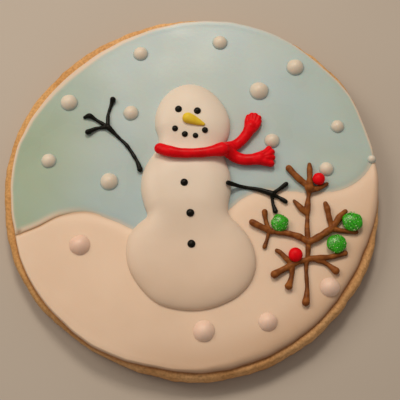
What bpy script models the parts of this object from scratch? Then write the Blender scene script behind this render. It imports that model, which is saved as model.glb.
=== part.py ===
"""Snowman cookie: a round butter biscuit flooded with icing and decorated by hand.

Metres, +Z up. The biscuit lies on its flat foot at z = 0 with its centre at the origin, and the
picture on it reads upright from -Y. Two floods of icing, the sky and the snow, meet along a drift
line. The snowman, its scarf, its two arms and a bare twig tree are piped on top of them.
"""

import math

import bmesh
import bpy
from mathutils import Vector

MM = 0.001
GAP = 0.3 * MM  # room left between neighbouring pieces
WELD = 0.002 * MM
SHARP_ANGLE = math.radians(50)

# Biscuit: distance from the centre to the hand-cut edge every 11.25 degrees, from +X towards +Y
BISCUIT_EDGE = [
    radius * MM
    for radius in (
        48.5, 48.7, 49.2, 50.6, 50.9, 51.1, 50.6, 50.7, 50.5, 50.4, 50.3, 50.4, 50.5, 50.9, 51.3, 51.4,
        51.1, 51.1, 51.3, 51.2, 50.5, 49.8, 49.5, 49.6, 49.7, 49.3, 49.3, 49.1, 48.9, 48.9, 48.9, 48.7,
    )
]
BISCUIT_THICKNESS = 6.4 * MM
BISCUIT_ROUNDING = 1.5 * MM
BISCUIT_SIDES = 72

# Flood icing: its own edge, drawn by hand just inside the biscuit's
ICING_EDGE = [
    radius * MM
    for radius in (
        48.1, 48.2, 48.5, 49.4, 49.1, 49.6, 49.7, 49.7, 49.0, 48.3, 47.7, 47.5, 47.6, 48.1, 48.8, 49.3,
        49.2, 49.1, 49.2, 49.2, 49.1, 49.0, 48.7, 48.2, 48.3, 47.9, 47.4, 46.9, 46.6, 46.4, 46.5, 47.4,
    )
]
ICING_THICKNESS = 1.5 * MM
ICING_ROUNDING = 0.65 * MM
ICING_SIDES = 72
ICING_LOW = BISCUIT_THICKNESS + GAP
ICING_TOP = ICING_LOW + ICING_THICKNESS

# Drift line between sky and snow, from the left end of it to the right end, in mm
DRIFT_ENDS = (math.radians(195.6), math.radians(10.1))
DRIFT_POINTS = (
    (-41.5, -10.9), (-35.5, -7.8), (-28.5, -6.8), (-21.0, -9.2), (-14.0, -12.0), (-2.0, -11.5), (7.0, -7.0),
    (11.9, -3.0), (17.5, -0.8), (25.0, -1.2), (34.0, -1.3), (40.0, 0.4), (44.3, 3.7),
)

# Snow dots in mm: x, y, diameter. Each stands up by a fixed share of its diameter
DOT_RISE = 0.38
SKY_DOTS = (
    (-15.4, 38.7, 3.9), (6.4, 42.1, 4.0), (-34.5, 24.1, 4.7), (-17.7, 21.1, 4.1), (-23.0, 1.6, 4.8),
    (-39.2, 7.4, 4.0), (16.9, 27.6, 5.0), (26.9, 34.6, 4.8), (37.7, 17.2, 3.5), (20.1, 13.1, 4.0),
    (34.3, 5.1, 4.0), (46.3, 8.6, 1.7),
)
SNOW_DOTS = ((-30.1, -15.7, 5.4), (1.9, -38.1, 5.9), (18.0, -35.7, 4.8), (33.9, -26.8, 5.1))

# Snowman mounds in mm: centre x, centre y, half width, half length, height, widening towards -Y
MOUNDS = {
    "head": (-1.1, 20.7, 10.3, 9.7, 3.1, 0.05),
    "neck": (-1.3, 11.2, 9.4, 5.4, 2.5, 0.0),
    "torso": (-2.8, 1.8, 12.0, 9.7, 3.1, 0.0),
    "waist": (-2.3, -8.2, 10.9, 6.4, 2.7, 0.0),
    "base": (-1.4, -19.8, 16.6, 13.4, 3.3, 0.0),
}
MOUND_FLATNESS = 2.5  # 2 is a round dome, more is a flatter top with steeper sides
MOUND_SIDES = 32
MOUND_RINGS = 6
DROP_RISE = 0.35  # how far eyes, mouth and buttons stand up, as a share of their width
NOSE_SINK = 0.9 * MM
SNOWMAN_FOOT = ICING_TOP + GAP

# Face and buttons in mm: x, y, diameter
EYES = ((-4.8, 20.8, 1.9), (0.2, 20.3, 1.9))
MOUTH = ((-5.7, 15.4, 1.65), (-3.1, 13.8, 1.65), (-0.3, 13.4, 1.5), (2.2, 14.9, 1.65))
BUTTONS = ((-3.2, 0.2, 2.0), (-1.6, -8.0, 2.1), (-1.3, -16.1, 2.1))
NOSE = ((-2.5, 18.1, 1.45), (-1.3, 17.7, 1.35), (0.4, 17.0, 0.9), (1.9, 16.4, 0.4))

# Piped lines in mm: x, y, radius at each point of a line
SCARF_BAND = (
    (-9.6, 9.5, 1.5), (-7.0, 8.5, 1.5), (-3.8, 8.0, 1.3), (0.9, 8.1, 1.3), (4.0, 8.6, 1.45), (6.6, 9.2, 1.95),
)
SCARF_TAILS = (
    ((7.4, 10.0, 1.5), (10.2, 11.4, 1.45), (12.2, 13.1, 1.4), (13.6, 15.0, 1.5), (14.4, 16.6, 1.7)),
    ((7.6, 9.4, 1.7), (9.8, 8.3, 1.6), (12.0, 7.4, 1.5), (14.2, 7.3, 1.55), (16.6, 7.6, 1.75)),
)
SCARF_FRINGE = (
    ((13.6, 16.0, 0.95), (13.6, 18.0, 0.9), (13.9, 19.5, 0.8)),
    ((14.1, 16.4, 0.95), (14.6, 18.6, 0.85), (14.8, 20.0, 0.8)),
    ((14.5, 16.4, 0.95), (15.4, 18.5, 0.85), (15.7, 19.9, 0.8)),
    ((14.9, 16.2, 0.95), (16.1, 18.0, 0.85), (16.6, 19.2, 0.8)),
    ((15.0, 15.8, 0.95), (16.2, 17.2, 0.85), (16.7, 18.3, 0.75)),
    ((15.6, 8.0, 0.9), (16.7, 9.0, 0.75), (17.3, 9.6, 0.55)),
    ((16.4, 7.8, 1.1), (18.2, 9.2, 1.0), (19.1, 10.3, 0.9)),
    ((16.8, 7.6, 1.1), (18.9, 8.6, 1.0), (19.9, 9.5, 0.85)),
    ((16.9, 7.4, 1.1), (19.0, 7.6, 1.0), (20.0, 7.9, 0.85)),
    ((16.6, 7.1, 1.1), (18.6, 6.7, 1.0), (19.7, 6.6, 0.9)),
)
ARM_LEFT = (
    ((-14.9, 4.8, 0.8), (-15.9, 7.4, 0.53), (-18.4, 11.4, 0.6), (-20.6, 13.7, 0.48), (-23.7, 16.8, 0.8)),
    ((-23.7, 16.8, 0.7), (-23.8, 20.4, 0.5), (-22.6, 24.7, 0.75)),
    ((-23.7, 16.8, 0.6), (-26.9, 18.9, 0.48), (-28.7, 20.0, 0.75), (-30.1, 19.7, 0.4)),
    ((-23.7, 16.8, 0.6), (-26.6, 16.5, 0.48), (-29.0, 15.3, 0.8)),
)
ARM_RIGHT = (
    ((8.7, 0.7, 0.6), (12.0, 0.2, 0.5), (16.5, -0.9, 0.55), (20.2, -2.2, 0.85)),
    ((20.2, -2.2, 0.6), (22.1, -0.6, 0.55), (23.6, 0.7, 0.65)),
    ((20.2, -2.2, 0.6), (21.7, -3.0, 0.5), (23.3, -4.2, 0.65)),
    ((20.2, -2.2, 0.6), (20.2, -4.6, 0.45), (20.7, -6.8, 0.65)),
)
TWIGS = (
    ((27.6, -31.0, 0.95), (27.9, -29.2, 0.75), (28.1, -26.8, 0.62), (28.0, -22.6, 0.56), (28.2, -19.8, 0.65)),
    ((28.2, -20.4, 0.6), (28.6, -17.8, 0.62), (28.8, -15.0, 0.8)),
    ((28.8, -15.4, 0.8), (28.6, -11.6, 0.7), (28.8, -8.1, 0.5)),
    ((28.8, -8.3, 0.5), (28.9, -5.4, 0.8), (29.3, -2.4, 0.6), (29.5, -0.6, 1.2)),
    ((29.5, -0.5, 1.2), (29.7, 2.0, 0.75), (29.8, 4.5, 0.75), (29.8, 6.1, 0.6)),
    ((29.3, 0.3, 0.85), (27.9, 1.2, 0.8), (26.0, 3.0, 0.95), (24.3, 5.1, 0.85)),
    ((30.0, -0.9, 0.9), (32.0, -0.5, 0.8), (34.2, 0.8, 0.5)),
    ((28.7, -7.6, 0.55), (27.1, -5.9, 0.8), (25.5, -3.9, 0.45)),
    ((28.9, -15.2, 0.9), (31.7, -13.7, 0.95), (35.0, -11.5, 0.85)),
    ((34.9, -11.2, 0.7), (34.3, -8.0, 0.8), (34.0, -6.2, 0.9), (33.6, -4.7, 0.65)),
    ((35.3, -11.3, 0.7), (37.1, -8.5, 0.95), (38.7, -6.8, 0.65)),
    ((35.2, -11.7, 0.75), (38.0, -12.1, 0.62), (41.2, -12.4, 0.62)),
    ((28.9, -15.2, 0.9), (26.0, -13.5, 0.85), (22.4, -12.6, 0.78), (18.9, -12.2, 0.78)),
    ((18.9, -12.1, 0.75), (16.4, -10.9, 0.85), (14.4, -9.8, 0.85)),
    ((18.8, -12.0, 0.7), (18.0, -9.4, 0.6), (17.7, -7.0, 0.78)),
    ((18.7, -12.4, 0.6), (18.1, -14.6, 0.52), (17.5, -16.3, 0.62)),
    ((28.5, -19.6, 0.8), (31.3, -19.4, 0.85), (34.6, -19.0, 0.72), (38.2, -18.0, 0.65)),
    ((30.9, -19.9, 0.65), (33.2, -20.8, 0.62), (35.6, -22.8, 0.9)),
    ((28.3, -19.9, 0.75), (26.5, -20.2, 0.7), (24.6, -21.0, 0.8)),
    ((24.4, -20.9, 0.75), (22.9, -19.4, 0.75), (21.5, -17.9, 0.68), (20.6, -17.3, 0.5)),
    ((24.6, -21.1, 0.8), (21.9, -22.5, 0.8), (19.8, -23.7, 0.98)),
    ((24.5, -21.2, 0.8), (24.2, -24.2, 0.6), (23.4, -26.7, 1.05)),
)
LINE_FLATNESS = 0.8  # height of a piped line over its width
LINE_STEPS = 2
LINE_LIFT = 0.05 * MM
LINE_LAYERS = 5
LINE_RESOLUTION = 2
ROUND_TIP = ((0.75, 0.6),)  # reach past the end and width there, as shares of the radius

# Baubles in mm: x, y, width, height
BAUBLES = (
    (32.0, 1.8, 3.3, 2.6), (25.3, -18.7, 3.7, 2.7), (21.5, -10.2, 4.5, 2.2), (40.5, -9.8, 5.2, 2.3),
    (36.0, -16.1, 5.0, 2.3),
)
BALL_SEGMENTS = 10
BALL_RINGS = 6

# Colour, roughness
FINISHES = {
    "biscuit": ((0.48, 0.25, 0.09), 0.85),
    "sky_icing": ((0.42, 0.50, 0.46), 0.35),
    "snow_icing": ((0.78, 0.66, 0.56), 0.35),
    "snowman": ((0.80, 0.69, 0.59), 0.35),
    "scarf": ((0.55, 0.01, 0.015), 0.3),
    "arm_left": ((0.01, 0.01, 0.008), 0.35),
    "arm_right": ((0.01, 0.01, 0.008), 0.35),
    "twig_tree": ((0.15, 0.045, 0.012), 0.4),
}


def clear_scene():
    """Removes whatever the file holds."""
    for obj in list(bpy.data.objects):
        bpy.data.objects.remove(obj, do_unlink=True)


def new_collection(name):
    """A collection in the scene."""
    collection = bpy.data.collections.new(name)
    bpy.context.scene.collection.children.link(collection)
    return collection


def new_object(name, data, collection):
    """An object that holds data, in a collection."""
    obj = bpy.data.objects.new(name, data)
    collection.objects.link(obj)
    return obj


def spline_value(before, here, there, after, t):
    """Point or number on a smooth curve through evenly spaced values, t of the way from here to there."""
    bend = 2 * before - 5 * here + 4 * there - after
    twist = 3 * (here - there) + after - before
    return here + 0.5 * t * (there - before + t * (bend + t * twist))


def ring_radius(edge, angle):
    """Distance from the centre to a hand-made edge at an angle."""
    place = angle / (2 * math.pi) * len(edge)
    start = math.floor(place)
    values = [edge[(start + k) % len(edge)] for k in (-1, 0, 1, 2)]
    return spline_value(*values, place - start)


def ring_point(edge, angle):
    """Point of a hand-made edge at an angle."""
    radius = ring_radius(edge, angle)
    return Vector((radius * math.cos(angle), radius * math.sin(angle)))


def smooth_path(points, steps):
    """The points of a smooth curve through the given ones, with steps points to each span."""
    ends = [2 * points[0] - points[1], *points, 2 * points[-1] - points[-2]]
    path = []
    for i in range(1, len(ends) - 2):
        path += [spline_value(*ends[i - 1:i + 3], k / steps) for k in range(steps)]
    return [*path, points[-1]]


def drift_line(shift):
    """The line where sky and snow meet, moved towards the sky by shift."""
    ends = [ring_point(ICING_EDGE, angle) for angle in DRIFT_ENDS]
    line = smooth_path([ends[0], *[Vector(point) * MM for point in DRIFT_POINTS], ends[1]], 2)
    moved = []
    for i, point in enumerate(line):
        along = (line[min(i + 1, len(line) - 1)] - line[max(i - 1, 0)]).normalized()
        moved.append(point + shift * Vector((-along.y, along.x)))
    return moved


def flood_outline(side):
    """Outline of a flood of icing: side is 1 for the sky over the drift line, -1 for the snow under it."""
    line = drift_line(side * GAP / 2)
    first, last = (math.atan2(point.y, point.x) % (2 * math.pi) for point in (line[-1], line[0]))
    if side < 0:
        line.reverse()
        first, last = last, first + 2 * math.pi
    count = round(ICING_SIDES * (last - first) / (2 * math.pi))
    angles = [first + (last - first) * k / count for k in range(1, count)]
    return [ring_point(ICING_EDGE, angle) for angle in angles] + line


def as_mesh(obj, name, collection):
    """A mesh object of what obj evaluates to, with loose caps welded. obj is removed."""
    bpy.context.view_layer.update()
    mesh = bpy.data.meshes.new_from_object(obj.evaluated_get(bpy.context.evaluated_depsgraph_get()))
    mesh.transform(obj.matrix_world)
    bm = bmesh.new()
    bm.from_mesh(mesh)
    bmesh.ops.remove_doubles(bm, verts=bm.verts, dist=WELD)
    bmesh.ops.recalc_face_normals(bm, faces=bm.faces)
    bm.to_mesh(mesh)
    bm.free()
    bpy.data.objects.remove(obj, do_unlink=True)
    return new_object(name, mesh, collection)


def slab(name, outline, low, high, rounding, collection):
    """A flat slab between two heights, with its top and bottom edges rounded."""
    curve = bpy.data.curves.new(name + "_outline", "CURVE")
    curve.dimensions = "2D"
    curve.fill_mode = "BOTH"
    curve.extrude = (high - low) / 2
    edge = curve.splines.new("POLY")
    edge.points.add(len(outline) - 1)
    for point, (x, y) in zip(edge.points, outline):
        point.co = (x, y, 0, 1)
    edge.use_cyclic_u = True
    drawn = new_object(name + "_outline", curve, collection)
    drawn.location.z = (low + high) / 2
    obj = as_mesh(drawn, name, collection)
    bm = bmesh.new()
    bm.from_mesh(obj.data)
    bmesh.ops.dissolve_limit(bm, angle_limit=math.radians(1), verts=bm.verts, edges=bm.edges)
    bm.to_mesh(obj.data)
    bm.free()
    bevel = obj.modifiers.new("rounded edge", "BEVEL")
    bevel.width = rounding
    bevel.segments = 3
    bevel.limit_method = "ANGLE"
    bevel.angle_limit = math.radians(50)
    return obj


def ball(x, y, z, width, rise, depth, collection):
    """A round drop of icing on a point: width across, rise above the point and depth below it."""
    bm = bmesh.new()
    bmesh.ops.create_uvsphere(bm, u_segments=BALL_SEGMENTS, v_segments=BALL_RINGS, radius=1)
    for vertex in bm.verts:
        vertex.co.x = x + vertex.co.x * width / 2
        vertex.co.y = y + vertex.co.y * width / 2
        vertex.co.z = z + vertex.co.z * (rise if vertex.co.z > 0 else depth)
    mesh = bpy.data.meshes.new("drop")
    bm.to_mesh(mesh)
    bm.free()
    return new_object("drop", mesh, collection)


def mound(name, collection):
    """A dome of icing: a superellipse profile turned about Z, then stretched to an oval."""
    x, y, half_width, half_length, height, widening = MOUNDS[name]
    bend = 2 / MOUND_FLATNESS
    angles = [math.pi / 2 * k / MOUND_RINGS for k in range(MOUND_RINGS)]
    outer = [(half_width * math.sin(angle) ** bend, height * math.cos(angle) ** bend) for angle in angles]
    corners = [*outer, (half_width, 0), (0, 0)]
    points = [(out * MM, 0, SNOWMAN_FOOT + up * MM) for out, up in corners]
    profile = bpy.data.meshes.new(name)
    profile.from_pydata(points, [(k, k + 1) for k in range(len(points) - 1)], [])
    turned = new_object(name, profile, collection)
    screw = turned.modifiers.new("turned", "SCREW")
    screw.steps = MOUND_SIDES
    screw.render_steps = MOUND_SIDES
    screw.use_merge_vertices = True
    screw.merge_threshold = WELD
    obj = as_mesh(turned, name, collection)
    for vertex in obj.data.vertices:
        along = vertex.co.y / (half_width * MM)
        vertex.co.x = x * MM + vertex.co.x * (1 - widening * along)
        vertex.co.y = y * MM + along * half_length * MM
    return obj


def snowman_height(x, y):
    """How far the snowman stands up over his foot at a place."""
    heights = [0]
    for cx, cy, half_width, half_length, height, _ in MOUNDS.values():
        out = math.hypot((x - cx * MM) / (half_width * MM), (y - cy * MM) / (half_length * MM))
        if out < 1:
            heights.append(height * MM * (1 - out ** MOUND_FLATNESS) ** (1 / MOUND_FLATNESS))
    return max(heights)


def line_level(x, y, radius):
    """The lowest height at which a line of a radius clears the snowman and the icing."""
    around = [radius * Vector((math.cos(k * math.pi / 4), math.sin(k * math.pi / 4))) for k in range(8)]
    return SNOWMAN_FOOT + max(snowman_height(x + step.x, y + step.y) for step in around)


def round_end(inner, end):
    """Stations that carry a line past its end point, away from inner, into a round tip."""
    outward = end - inner
    outward.z = 0
    outward.w = 0
    outward = outward.normalized() * end.w
    return [(end + outward * reach, share) for reach, share in ROUND_TIP]


def line(points, collection, order=0):
    """A piped line with round ends, pressed a little flat, along points of x, y and radius.

    Lines that cross lie a hair higher one after another, by their order.
    """
    lift = LINE_LIFT * (order % LINE_LAYERS)
    path = []
    for x, y, radius in points:
        level = line_level(x * MM, y * MM, radius * MM) + lift
        path.append(Vector((x * MM, y * MM, level, radius * MM)))
    path = smooth_path(path, LINE_STEPS)
    first = round_end(path[1], path[0])
    last = round_end(path[-2], path[-1])
    stations = [*reversed(first), *[(point, 1) for point in path], *last]
    curve = bpy.data.curves.new("line", "CURVE")
    curve.dimensions = "3D"
    curve.bevel_depth = MM
    curve.bevel_resolution = LINE_RESOLUTION
    curve.use_fill_caps = True
    drawn = curve.splines.new("POLY")
    drawn.points.add(len(stations) - 1)
    for point, (station, share) in zip(drawn.points, stations):
        point.co = (station.x, station.y, station.z / LINE_FLATNESS + station.w, 1)
        point.radius = station.w * share / MM
    obj = new_object("line", curve, collection)
    obj.scale.z = LINE_FLATNESS
    return as_mesh(obj, "line", collection)


def fuse(name, body, extras, collection):
    """Joins the extra shapes to body by one union, applies it and clears the extras away."""
    group = new_collection(name + "_extras")
    for extra in extras:
        collection.objects.unlink(extra)
        group.objects.link(extra)
    union = body.modifiers.new("fused", "BOOLEAN")
    union.operation = "UNION"
    union.operand_type = "COLLECTION"
    union.collection = group
    body.name = name + "_body"
    obj = as_mesh(body, name, collection)
    for extra in list(group.objects):
        bpy.data.objects.remove(extra, do_unlink=True)
    bpy.data.collections.remove(group)
    return obj


def make_biscuit(collection):
    """The baked round, its edge a little uneven from the cutter and the oven."""
    turns = [2 * math.pi * k / BISCUIT_SIDES for k in range(BISCUIT_SIDES)]
    outline = [ring_point(BISCUIT_EDGE, turn) for turn in turns]
    return slab("biscuit", outline, 0, BISCUIT_THICKNESS, BISCUIT_ROUNDING, collection)


def make_flood(name, side, dots, collection):
    """One flood of icing with the snow dots that are dropped on it."""
    flood = slab(name, flood_outline(side), ICING_LOW, ICING_TOP, ICING_ROUNDING, collection)
    drops = []
    for x, y, width in dots:
        rise = DOT_RISE * width * MM
        drops.append(ball(x * MM, y * MM, ICING_TOP, width * MM, rise, ICING_THICKNESS / 2, collection))
    return fuse(name, flood, drops, collection)


def make_snowman(collection):
    """Head, neck, torso, waist and base run into one, with eyes, mouth, buttons and nose fused on."""
    mounds = [mound(name, collection) for name in MOUNDS]
    details = []
    for x, y, width in (*EYES, *MOUTH, *BUTTONS):
        surface = SNOWMAN_FOOT + snowman_height(x * MM, y * MM)
        half = DROP_RISE * width * MM
        details.append(ball(x * MM, y * MM, surface, width * MM, half, half, collection))
    nose = line(NOSE, collection)
    nose.location.z = -NOSE_SINK
    bpy.context.view_layer.update()
    details.append(as_mesh(nose, "nose", collection))
    return fuse("snowman", mounds[0], [*mounds[1:], *details], collection)


def lines(strokes, collection):
    """Several piped lines, each laid over the one before it."""
    return [line(points, collection, order) for order, points in enumerate(strokes)]


def make_scarf(collection):
    """A thick piped band across the neck, knotted at one side, with two fringed tails."""
    pieces = lines((SCARF_BAND, *SCARF_TAILS, *SCARF_FRINGE), collection)
    return fuse("scarf", pieces[0], pieces[1:], collection)


def make_arm(name, strokes, collection):
    """A stick arm: a forearm line and three finger lines from its end."""
    pieces = lines(strokes, collection)
    return fuse(name, pieces[0], pieces[1:], collection)


def make_tree(collection):
    """A bare twig tree of short piped strokes, hung with round baubles."""
    pieces = lines(TWIGS, collection)
    for x, y, width, height in BAUBLES:
        half = height * MM / 2
        pieces.append(ball(x * MM, y * MM, SNOWMAN_FOOT + half, width * MM, half, half, collection))
    return fuse("twig_tree", pieces[0], pieces[1:], collection)


def finish(obj):
    """Gives a piece its own material and its shading."""
    colour, roughness = FINISHES[obj.name]
    material = bpy.data.materials.new(obj.name)
    material.use_nodes = True
    shader = material.node_tree.nodes["Principled BSDF"]
    shader.inputs["Base Color"].default_value = (*colour, 1)
    shader.inputs["Roughness"].default_value = roughness
    shader.inputs["Metallic"].default_value = 0
    obj.data.materials.clear()
    obj.data.materials.append(material)
    obj.data.shade_smooth()
    obj.data.set_sharp_from_angle(angle=SHARP_ANGLE)


def main():
    """Builds every piece in one collection."""
    clear_scene()
    cookie = new_collection("snowman_cookie")
    pieces = [
        make_biscuit(cookie),
        make_flood("sky_icing", 1, SKY_DOTS, cookie),
        make_flood("snow_icing", -1, SNOW_DOTS, cookie),
        make_snowman(cookie),
        make_scarf(cookie),
        make_arm("arm_left", ARM_LEFT, cookie),
        make_arm("arm_right", ARM_RIGHT, cookie),
        make_tree(cookie),
    ]
    for piece in pieces:
        finish(piece)


main()
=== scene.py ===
"""Snowman cookie: the finished look of every piece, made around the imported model."""

import math
import random

import bpy
import numpy as np
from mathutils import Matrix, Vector, geometry, noise


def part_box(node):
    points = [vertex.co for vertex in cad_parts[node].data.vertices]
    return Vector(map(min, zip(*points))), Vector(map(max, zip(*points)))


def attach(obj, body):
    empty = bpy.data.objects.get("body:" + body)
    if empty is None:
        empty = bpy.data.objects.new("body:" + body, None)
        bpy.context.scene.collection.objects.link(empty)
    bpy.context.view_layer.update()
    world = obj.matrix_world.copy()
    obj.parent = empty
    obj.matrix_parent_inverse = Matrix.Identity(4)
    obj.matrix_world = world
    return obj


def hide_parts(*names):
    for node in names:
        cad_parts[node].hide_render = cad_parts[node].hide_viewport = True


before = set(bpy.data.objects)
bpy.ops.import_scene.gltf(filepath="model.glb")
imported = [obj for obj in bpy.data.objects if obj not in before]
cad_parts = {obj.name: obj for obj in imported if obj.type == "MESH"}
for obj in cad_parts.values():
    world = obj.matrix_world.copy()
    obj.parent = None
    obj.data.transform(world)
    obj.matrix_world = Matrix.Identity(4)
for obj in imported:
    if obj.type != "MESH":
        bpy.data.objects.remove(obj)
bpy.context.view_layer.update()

MM = 0.001
FULL_TURN = 2 * math.pi
RANDOM = random.Random(24)

# Levels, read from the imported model, in mm
BISCUIT_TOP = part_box("biscuit")[1].z / MM
GAP = 0.3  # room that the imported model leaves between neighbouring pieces
ICING_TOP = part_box("snowman")[0].z / MM - GAP

# Hand-cut edges: distance from the centre every 11.25 degrees from +X towards +Y, in mm
BISCUIT_EDGE = (
    48.5, 48.7, 49.2, 50.6, 50.9, 51.1, 50.6, 50.7, 50.5, 50.4, 50.3, 50.4, 50.5, 50.9, 51.3, 51.4,
    51.1, 51.1, 51.3, 51.1, 50.2, 49.9, 49.6, 49.9, 50.2, 49.9, 49.8, 49.5, 49.3, 49.2, 49.2, 48.8,
)
ICING_EDGE = (
    48.1, 48.2, 48.5, 49.4, 49.1, 49.6, 49.7, 49.7, 49.0, 48.3, 47.7, 47.5, 47.6, 48.1, 48.8, 49.3,
    49.1, 48.8, 49.2, 49.4, 49.2, 49.3, 48.8, 48.2, 48.4, 48.1, 47.7, 47.3, 46.9, 46.6, 46.6, 47.4,
)

# Drift line between sky and snow, from the left end of it to the right end, in mm
DRIFT_ENDS = (math.radians(195.6), math.radians(10.1))
DRIFT_POINTS = (
    (-41.5, -10.9), (-35.5, -7.8), (-28.5, -6.8), (-21.0, -9.2), (-14.0, -12.0), (-2.0, -11.5),
    (7.0, -7.0), (11.9, -3.0), (17.5, -0.8), (25.0, -1.2), (34.0, -1.3), (40.0, 0.4), (44.3, 3.7),
)

# Snow dots in mm: x, y, diameter
SKY_DOTS = (
    (-15.4, 38.7, 4.2), (6.4, 42.1, 4.2), (-34.5, 24.1, 4.8), (-17.7, 21.1, 4.3), (-23.0, 1.6, 4.9),
    (-39.2, 7.4, 4.1), (16.9, 27.6, 5.3), (26.9, 34.6, 4.9), (37.7, 17.2, 3.7), (20.1, 13.1, 4.2),
    (34.3, 5.1, 4.0), (46.4, 7.9, 2.4),
)
SNOW_DOTS = ((-30.1, -15.7, 5.4), (1.9, -38.1, 5.5), (18.0, -35.7, 4.8), (33.9, -26.8, 5.1))

# Outline of the snowman's foot on the icing in mm, from the top of the head down its left side and round
BODY_OUTLINE = (
    (-2.1, 29.3), (-6.3, 27.9), (-9.4, 24.7), (-11.0, 20.8), (-11.1, 16.9), (-10.2, 13.6),
    (-10.7, 10.4), (-12.6, 7.4), (-14.3, 3.6), (-14.6, -1.0), (-13.7, -5.0), (-12.9, -8.0),
    (-15.4, -10.4), (-17.7, -13.8), (-18.1, -18.5), (-16.7, -23.3), (-13.4, -28.0), (-9.6, -31.2),
    (-4.6, -32.6), (0.7, -32.8), (5.8, -31.6), (10.8, -28.9), (14.1, -25.0), (15.3, -20.2),
    (14.1, -14.9), (11.2, -10.6), (8.6, -7.9), (8.3, -5.0), (9.1, -0.8), (8.9, 3.4), (7.6, 7.5),
    (7.2, 10.9), (8.5, 14.2), (9.0, 18.0), (7.8, 22.1), (5.2, 25.8), (1.9, 28.4),
)

# Face and buttons in mm: x, y, diameter
EYES = ((-4.8, 20.8, 1.9), (0.2, 20.3, 1.9))
MOUTH = ((-5.7, 15.4, 1.65), (-3.1, 13.8, 1.65), (-0.3, 13.4, 1.5), (2.2, 14.9, 1.65))
BUTTONS = ((-3.2, 0.2, 2.0), (-1.6, -8.0, 2.1), (-1.3, -16.1, 2.1))

# Piped lines in mm: x, y, radius at each point
NOSE = ((-2.3, 18.1, 1.5), (-1.2, 17.7, 1.35), (0.4, 17.0, 0.95), (1.75, 16.45, 0.5))
SCARF_BAND = (
    (-9.6, 9.5, 1.5), (-7.0, 8.5, 1.5), (-3.8, 8.0, 1.3), (0.9, 8.1, 1.3), (4.0, 8.6, 1.45),
    (6.6, 9.2, 1.95),
)
SCARF_TAILS = (
    ((7.4, 10.0, 1.5), (10.2, 11.4, 1.45), (12.2, 13.1, 1.4), (13.6, 15.0, 1.5), (14.4, 16.6, 1.7)),
    ((7.6, 9.4, 1.7), (9.8, 8.3, 1.6), (12.0, 7.4, 1.5), (14.2, 7.3, 1.55), (16.6, 7.6, 1.75)),
)
SCARF_FRINGE = (
    ((13.6, 16.0, 0.95), (13.6, 18.0, 0.9), (13.9, 19.5, 0.8)),
    ((14.1, 16.4, 0.95), (14.6, 18.6, 0.85), (14.8, 20.0, 0.8)),
    ((14.5, 16.4, 0.95), (15.4, 18.5, 0.85), (15.7, 19.9, 0.8)),
    ((14.9, 16.2, 0.95), (16.1, 18.0, 0.85), (16.6, 19.2, 0.8)),
    ((15.0, 15.8, 0.95), (16.2, 17.2, 0.85), (16.7, 18.3, 0.75)),
    ((15.6, 8.0, 0.9), (16.7, 9.0, 0.75), (17.3, 9.6, 0.55)),
    ((16.4, 7.8, 1.1), (18.2, 9.2, 1.0), (19.1, 10.3, 0.9)),
    ((16.8, 7.6, 1.1), (18.9, 8.6, 1.0), (19.9, 9.5, 0.85)),
    ((16.9, 7.4, 1.1), (19.0, 7.6, 1.0), (20.0, 7.9, 0.85)),
    ((16.6, 7.1, 1.1), (18.5, 6.5, 1.0), (19.6, 6.2, 0.95)),
)
ARM_LEFT = (
    (
        (-14.9, 4.8, 0.78), (-15.9, 7.4, 0.5), (-18.4, 11.4, 0.52), (-20.6, 13.7, 0.44),
        (-23.7, 16.8, 0.78),
    ),
    ((-23.7, 16.8, 0.7), (-23.8, 20.2, 0.46), (-23.1, 23.0, 0.46), (-22.6, 24.7, 0.8)),
    ((-23.7, 16.8, 0.6), (-26.9, 18.9, 0.48), (-28.7, 20.0, 0.75), (-30.1, 19.7, 0.4)),
    ((-23.7, 16.8, 0.6), (-26.6, 16.5, 0.48), (-29.0, 15.3, 0.8)),
)
ARM_RIGHT = (
    ((8.2, 0.3, 0.62), (12.0, 0.0, 0.5), (16.3, -0.8, 0.52), (19.7, -2.0, 0.85)),
    ((19.7, -2.0, 0.6), (21.8, -0.6, 0.55), (23.5, 0.7, 0.65)),
    ((19.7, -2.0, 0.6), (21.4, -2.9, 0.5), (23.2, -4.1, 0.65)),
    ((19.7, -2.0, 0.6), (19.9, -4.5, 0.45), (20.5, -6.8, 0.65)),
)
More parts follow.
